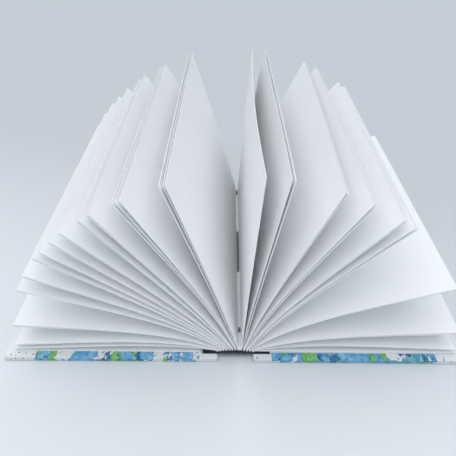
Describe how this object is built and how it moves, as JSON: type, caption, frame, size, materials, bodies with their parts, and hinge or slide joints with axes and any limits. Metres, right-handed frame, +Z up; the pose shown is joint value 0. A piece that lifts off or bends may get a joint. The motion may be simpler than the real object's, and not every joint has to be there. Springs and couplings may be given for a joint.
{
  "type": "open book",
  "caption": "Hardback notebook lying open face up, its thick blank pages fanned upright between two flat paper-covered boards joined by a cloth spine strip.",
  "frame": {"origin": "on the surface that the covers lie on, midway between the two boards and halfway up the pages", "axes": "+X to the right across the spread, +Y from the tail of the pages to their head, +Z up out of the gutter"},
  "size_m": [0.2308, 0.156, 0.1064],
  "materials": {
    "page_paper": "matt uncoated, faintly blue white",
    "thread": "waxed green linen thread",
    "book_cloth": "fine plain weave, navy",
    "grey_board": "grey board, raw",
    "cover_paper": "satin printed sheet, white with loose blue and green washes",
    "end_paper": "matt uncoated, faintly blue white"
  },
  "bodies": {
    "text_block": {"pages": "page_paper", "sewing_thread": "thread", "spine_cloth": "book_cloth"},
    "left_cover": {"left_board": "grey_board", "left_cover_paper": "cover_paper", "left_pastedown": "end_paper"},
    "right_cover": {"right_board": "grey_board", "right_cover_paper": "cover_paper", "right_pastedown": "end_paper"}
  },
  "joints": [
    {"name": "left_cover_hinge", "type": "hinge", "parent": "text_block", "child": "left_cover", "pos_m": [-0.009, 0, 0.0026], "axis": [0, -1, 0], "range_deg": [0, 90]},
    {"name": "right_cover_hinge", "type": "hinge", "parent": "text_block", "child": "right_cover", "pos_m": [0.009, 0, 0.0026], "axis": [0, 1, 0], "range_deg": [0, 90]}
  ]
}
